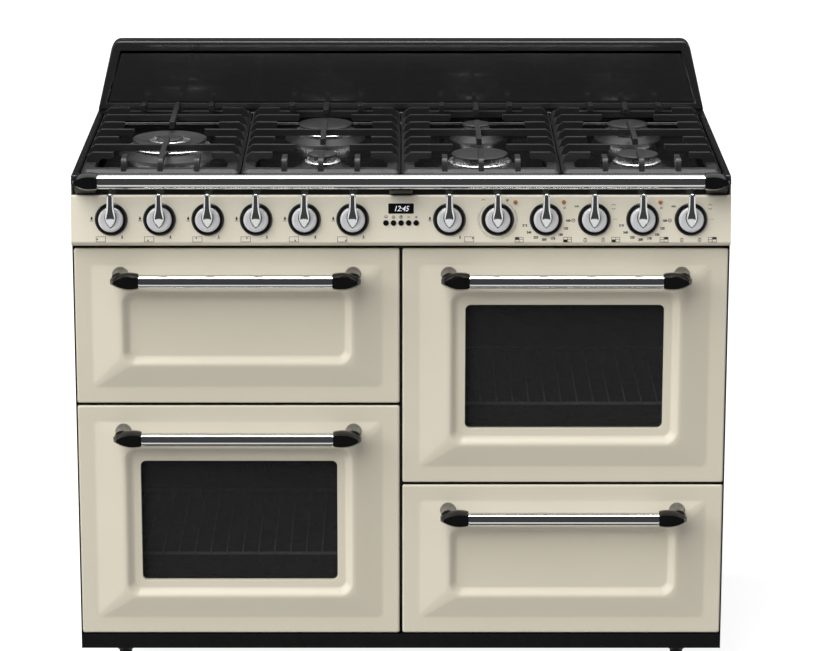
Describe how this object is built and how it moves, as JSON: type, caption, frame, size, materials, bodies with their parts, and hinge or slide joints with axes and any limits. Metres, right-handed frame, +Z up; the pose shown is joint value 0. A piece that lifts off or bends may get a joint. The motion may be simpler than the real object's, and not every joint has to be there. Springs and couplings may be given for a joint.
{
  "type": "range cooker",
  "caption": "Free-standing range cooker with a gas hob, two glazed ovens, a grill compartment and a storage drawer under a knob panel with a towel rail.",
  "frame": {"origin": "middle of the cooker's footprint, from the front rail to the rear panel, on the floor", "axes": "+Z up, +Y to the rear, +X to the right seen from the front"},
  "size_m": [1.1, 0.662, 1.0244],
  "materials": {
    "cream_enamel": "gloss enamel",
    "black_enamel": "gloss enamel",
    "black_steel": "satin paint",
    "zinc_steel": "galvanised",
    "black_plastic": "gloss",
    "chrome": "polished",
    "burner_alloy": "turned",
    "black_enamel_caps": "satin enamel",
    "cast_iron": "matt enamel",
    "oven_enamel": "speckled enamel",
    "rack_wire": "plated wire",
    "dark_glass": "printed black glass"
  },
  "bodies": {
    "cooker_body": {"outer_panels": "black_steel", "base_pan": "black_steel", "front_frame": "zinc_steel", "feet": "black_plastic", "hob_tray": "black_enamel", "backguard": "black_enamel", "front_rail": "chrome", "rail_brackets": "black_plastic", "control_panel": "cream_enamel", "knob_rings": "black_plastic", "timer_and_lamps": "black_plastic", "control_valves": "zinc_steel", "burner_bodies": "burner_alloy", "burner_caps": "black_enamel_caps", "pan_supports": "cast_iron", "oven_liners": "oven_enamel", "oven_racks": "rack_wire", "drawer_runners": "zinc_steel"},
    "left_oven_door": {"left_oven_door": "cream_enamel", "left_oven_inner": "black_steel", "left_oven_glass": "dark_glass", "left_oven_handle": "chrome", "left_oven_handle_ends": "black_plastic"},
    "right_oven_door": {"right_oven_door": "cream_enamel", "right_oven_inner": "black_steel", "right_oven_glass": "dark_glass", "right_oven_handle": "chrome", "right_oven_handle_ends": "black_plastic"},
    "grill_door": {"grill_door": "cream_enamel", "grill_inner": "black_steel", "grill_handle": "chrome", "grill_handle_ends": "black_plastic"},
    "drawer": {"drawer_front": "cream_enamel", "drawer_box": "zinc_steel", "drawer_handle": "chrome", "drawer_handle_ends": "black_plastic"},
    "knob_1": {"knob_1": "chrome"},
    "tap_spindle_1": {"tap_spindle_1": "zinc_steel"},
    "knob_2": {"knob_2": "chrome"},
    "tap_spindle_2": {"tap_spindle_2": "zinc_steel"},
    "knob_3": {"knob_3": "chrome"},
    "tap_spindle_3": {"tap_spindle_3": "zinc_steel"},
    "knob_4": {"knob_4": "chrome"},
    "tap_spindle_4": {"tap_spindle_4": "zinc_steel"},
    "knob_5": {"knob_5": "chrome"},
    "tap_spindle_5": {"tap_spindle_5": "zinc_steel"},
    "knob_6": {"knob_6": "chrome"},
    "tap_spindle_6": {"tap_spindle_6": "zinc_steel"},
    "knob_7": {"knob_7": "chrome"},
    "tap_spindle_7": {"tap_spindle_7": "zinc_steel"},
    "knob_8": {"knob_8": "chrome"},
    "knob_9": {"knob_9": "chrome"},
    "knob_10": {"knob_10": "chrome"},
    "knob_11": {"knob_11": "chrome"},
    "knob_12": {"knob_12": "chrome"},
    "timer_button_1": {"timer_button_1": "black_plastic"},
    "timer_button_2": {"timer_button_2": "black_plastic"},
    "timer_button_3": {"timer_button_3": "black_plastic"},
    "timer_button_4": {"timer_button_4": "black_plastic"},
    "timer_button_5": {"timer_button_5": "black_plastic"}
  },
  "joints": [
    {"name": "left_oven_door_hinge", "type": "hinge", "parent": "cooker_body", "child": "left_oven_door", "pos_m": [-0.2753, -0.262, 0.112], "axis": [1, 0, 0], "range_deg": [0, 90]},
    {"name": "right_oven_door_hinge", "type": "hinge", "parent": "cooker_body", "child": "right_oven_door", "pos_m": [0.2753, -0.262, 0.3829], "axis": [1, 0, 0], "range_deg": [0, 90]},
    {"name": "grill_door_hinge", "type": "hinge", "parent": "cooker_body", "child": "grill_door", "pos_m": [-0.2753, -0.262, 0.5233], "axis": [1, 0, 0], "range_deg": [0, 90]},
    {"name": "drawer_slide", "type": "slide", "parent": "cooker_body", "child": "drawer", "axis": [0, -1, 0], "range_m": [0, 0.4]},
    {"name": "gas_knob_1_push", "type": "slide", "parent": "cooker_body", "child": "tap_spindle_1", "axis": [0, 0.9907, -0.1357], "range_m": [0, 0.003], "stiffness_N_per_m": 900},
    {"name": "gas_knob_1_turn", "type": "hinge", "parent": "tap_spindle_1", "child": "knob_1", "pos_m": [-0.483, -0.27976, 0.82697], "axis": [0, -0.9907, 0.1357], "range_deg": [0, 210]},
    {"name": "gas_knob_2_push", "type": "slide", "parent": "cooker_body", "child": "tap_spindle_2", "axis": [0, 0.9907, -0.1357], "range_m": [0, 0.003], "stiffness_N_per_m": 900},
    {"name": "gas_knob_2_turn", "type": "hinge", "parent": "tap_spindle_2", "child": "knob_2", "pos_m": [-0.4025, -0.27976, 0.82697], "axis": [0, -0.9907, 0.1357], "range_deg": [0, 210]},
    {"name": "gas_knob_3_push", "type": "slide", "parent": "cooker_body", "child": "tap_spindle_3", "axis": [0, 0.9907, -0.1357], "range_m": [0, 0.003], "stiffness_N_per_m": 900},
    {"name": "gas_knob_3_turn", "type": "hinge", "parent": "tap_spindle_3", "child": "knob_3", "pos_m": [-0.322, -0.27976, 0.82697], "axis": [0, -0.9907, 0.1357], "range_deg": [0, 210]},
    {"name": "gas_knob_4_push", "type": "slide", "parent": "cooker_body", "child": "tap_spindle_4", "axis": [0, 0.9907, -0.1357], "range_m": [0, 0.003], "stiffness_N_per_m": 900},
    {"name": "gas_knob_4_turn", "type": "hinge", "parent": "tap_spindle_4", "child": "knob_4", "pos_m": [-0.2415, -0.27976, 0.82697], "axis": [0, -0.9907, 0.1357], "range_deg": [0, 210]},
    {"name": "gas_knob_5_push", "type": "slide", "parent": "cooker_body", "child": "tap_spindle_5", "axis": [0, 0.9907, -0.1357], "range_m": [0, 0.003], "stiffness_N_per_m": 900},
    {"name": "gas_knob_5_turn", "type": "hinge", "parent": "tap_spindle_5", "child": "knob_5", "pos_m": [-0.161, -0.27976, 0.82697], "axis": [0, -0.9907, 0.1357], "range_deg": [0, 210]},
    {"name": "gas_knob_6_push", "type": "slide", "parent": "cooker_body", "child": "tap_spindle_6", "axis": [0, 0.9907, -0.1357], "range_m": [0, 0.003], "stiffness_N_per_m": 900},
    {"name": "gas_knob_6_turn", "type": "hinge", "parent": "tap_spindle_6", "child": "knob_6", "pos_m": [-0.0805, -0.27976, 0.82697], "axis": [0, -0.9907, 0.1357], "range_deg": [0, 210]},
    {"name": "gas_knob_7_push", "type": "slide", "parent": "cooker_body", "child": "tap_spindle_7", "axis": [0, 0.9907, -0.1357], "range_m": [0, 0.003], "stiffness_N_per_m": 900},
    {"name": "gas_knob_7_turn", "type": "hinge", "parent": "tap_spindle_7", "child": "knob_7", "pos_m": [0.0805, -0.27976, 0.82697], "axis": [0, -0.9907, 0.1357], "range_deg": [0, 210]},
    {"name": "grill_knob_turn", "type": "hinge", "parent": "cooker_body", "child": "knob_8", "pos_m": [0.161, -0.27976, 0.82697], "axis": [0, -0.9907, 0.1357], "range_deg": [-210, 0]},
    {"name": "left_oven_heat_turn", "type": "hinge", "parent": "cooker_body", "child": "knob_9", "pos_m": [0.2415, -0.27976, 0.82697], "axis": [0, -0.9907, 0.1357], "range_deg": [-270, 0]},
    {"name": "left_oven_mode_turn", "type": "hinge", "parent": "cooker_body", "child": "knob_10", "pos_m": [0.322, -0.27976, 0.82697], "axis": [0, -0.9907, 0.1357], "continuous": true},
    {"name": "right_oven_heat_turn", "type": "hinge", "parent": "cooker_body", "child": "knob_11", "pos_m": [0.4025, -0.27976, 0.82697], "axis": [0, -0.9907, 0.1357], "range_deg": [-270, 0]},
    {"name": "right_oven_mode_turn", "type": "hinge", "parent": "cooker_body", "child": "knob_12", "pos_m": [0.483, -0.27976, 0.82697], "axis": [0, -0.9907, 0.1357], "continuous": true},
    {"name": "timer_button_1_push", "type": "slide", "parent": "cooker_body", "child": "timer_button_1", "axis": [0, 0.9907, -0.1357], "range_m": [0, 0.0015], "stiffness_N_per_m": 400},
    {"name": "timer_button_2_push", "type": "slide", "parent": "cooker_body", "child": "timer_button_2", "axis": [0, 0.9907, -0.1357], "range_m": [0, 0.0015], "stiffness_N_per_m": 400},
    {"name": "timer_button_3_push", "type": "slide", "parent": "cooker_body", "child": "timer_button_3", "axis": [0, 0.9907, -0.1357], "range_m": [0, 0.0015], "stiffness_N_per_m": 400},
    {"name": "timer_button_4_push", "type": "slide", "parent": "cooker_body", "child": "timer_button_4", "axis": [0, 0.9907, -0.1357], "range_m": [0, 0.0015], "stiffness_N_per_m": 400},
    {"name": "timer_button_5_push", "type": "slide", "parent": "cooker_body", "child": "timer_button_5", "axis": [0, 0.9907, -0.1357], "range_m": [0, 0.0015], "stiffness_N_per_m": 400}
  ]
}
